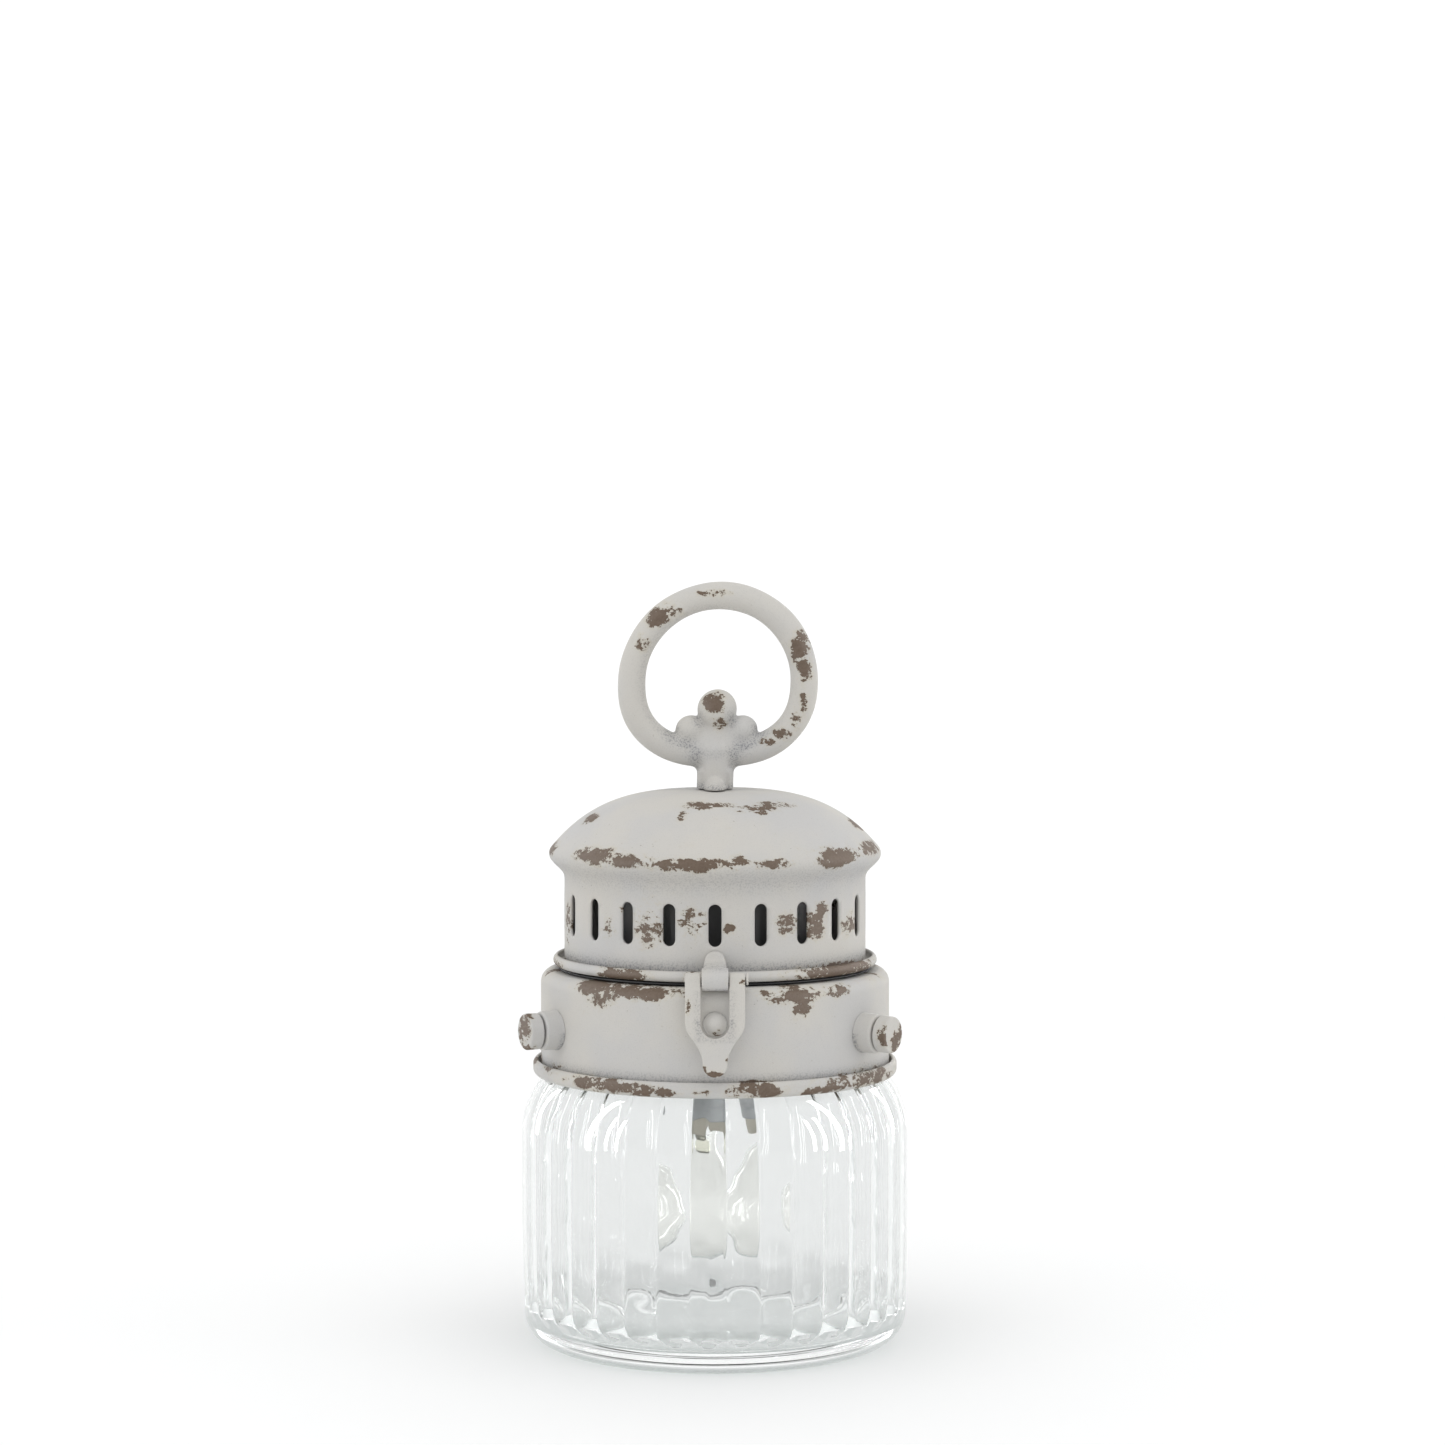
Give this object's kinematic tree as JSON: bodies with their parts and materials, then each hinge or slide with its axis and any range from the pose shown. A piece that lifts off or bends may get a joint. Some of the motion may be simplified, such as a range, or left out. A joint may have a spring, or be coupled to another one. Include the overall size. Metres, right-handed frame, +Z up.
{
  "type": "mason jar lantern",
  "caption": "Ribbed glass jar lantern with a painted tin collar held by thumb screws, a hinged vented dome lid, a hasp latch, a cast ring handle and a hanging bulb on a battery box.",
  "frame": {"origin": "centre of the jar's flat base", "axes": "+Z up along the jar axis, the latch and the front at -Y, the lid hinge at +Y"},
  "size_m": [0.12, 0.1272, 0.2351],
  "materials": {
    "jar_glass": "clear pressed glass with a faint green cast",
    "bulb_clear_glass": "thin clear glass",
    "chalk_paint": "matte chalk paint, rubbed through to brown",
    "dark_tin": "dark satin paint",
    "zinc_steel": "dull zinc plate",
    "nickel_brass": "dull plate",
    "led_epoxy": "clear warm resin",
    "ivory_plastic": "satin ivory",
    "black_plastic": "satin black",
    "cell_jacket": "plain dark sleeve",
    "board_green": "solder mask green"
  },
  "bodies": {
    "root": {"glass_jar": "jar_glass", "collar": "chalk_paint", "screw_boss_left": "chalk_paint", "screw_boss_right": "chalk_paint", "screw_boss_rear": "chalk_paint", "latch_stud": "chalk_paint", "hinge_collar_leaf": "chalk_paint", "lamp_plate": "dark_tin", "plate_rivet_1": "dark_tin", "plate_rivet_2": "dark_tin", "plate_rivet_3": "dark_tin", "hinge_pin": "zinc_steel", "lampholder_sleeve": "zinc_steel", "lampholder_nut": "zinc_steel", "box_screw_left": "zinc_steel", "box_screw_right": "zinc_steel", "cover_screw": "zinc_steel", "contact_strip_left": "zinc_steel", "contact_strip_right": "zinc_steel", "lampholder_insert": "ivory_plastic", "bulb_cap": "nickel_brass", "bulb_glass": "bulb_clear_glass", "led_stem": "led_epoxy", "battery_box": "black_plastic", "battery_cover": "black_plastic", "switch_body": "black_plastic", "battery_cell_1": "cell_jacket", "battery_cell_2": "cell_jacket", "battery_cell_3": "cell_jacket", "timer_board": "board_green"},
    "lid": {"lid_cap": "chalk_paint", "ring_handle": "chalk_paint", "handle_washer": "zinc_steel", "handle_nut": "zinc_steel", "hinge_lid_leaf": "chalk_paint", "latch_lug": "chalk_paint", "latch_pin": "chalk_paint"},
    "latch": {"latch_hasp": "chalk_paint"},
    "thumb_screw_left": {"thumb_screw_left": "chalk_paint"},
    "thumb_screw_right": {"thumb_screw_right": "chalk_paint"},
    "thumb_screw_rear": {"thumb_screw_rear": "chalk_paint"},
    "switch": {"switch_slider": "black_plastic"}
  },
  "joints": [
    {"name": "lid_hinge", "type": "hinge", "parent": "root", "child": "lid", "pos_m": [0, 0.057, 0.1185], "axis": [-1, 0, 0], "range_deg": [0, 105]},
    {"name": "latch_swing", "type": "hinge", "parent": "lid", "child": "latch", "pos_m": [0, -0.0548, 0.1182], "axis": [-1, 0, 0], "range_deg": [-11.43, 150]},
    {"name": "thumb_screw_left_slide", "type": "slide", "parent": "root", "child": "thumb_screw_left", "axis": [-0.8949, -0.4462, 0], "range_m": [0, 0.004]},
    {"name": "thumb_screw_right_slide", "type": "slide", "parent": "root", "child": "thumb_screw_right", "axis": [0.8339, -0.5519, 0], "range_m": [0, 0.004]},
    {"name": "thumb_screw_rear_slide", "type": "slide", "parent": "root", "child": "thumb_screw_rear", "axis": [0.061, 0.9981, 0], "range_m": [0, 0.004]},
    {"name": "switch_slide", "type": "slide", "parent": "root", "child": "switch", "axis": [1, 0, 0], "range_m": [0, 0.004]}
  ]
}
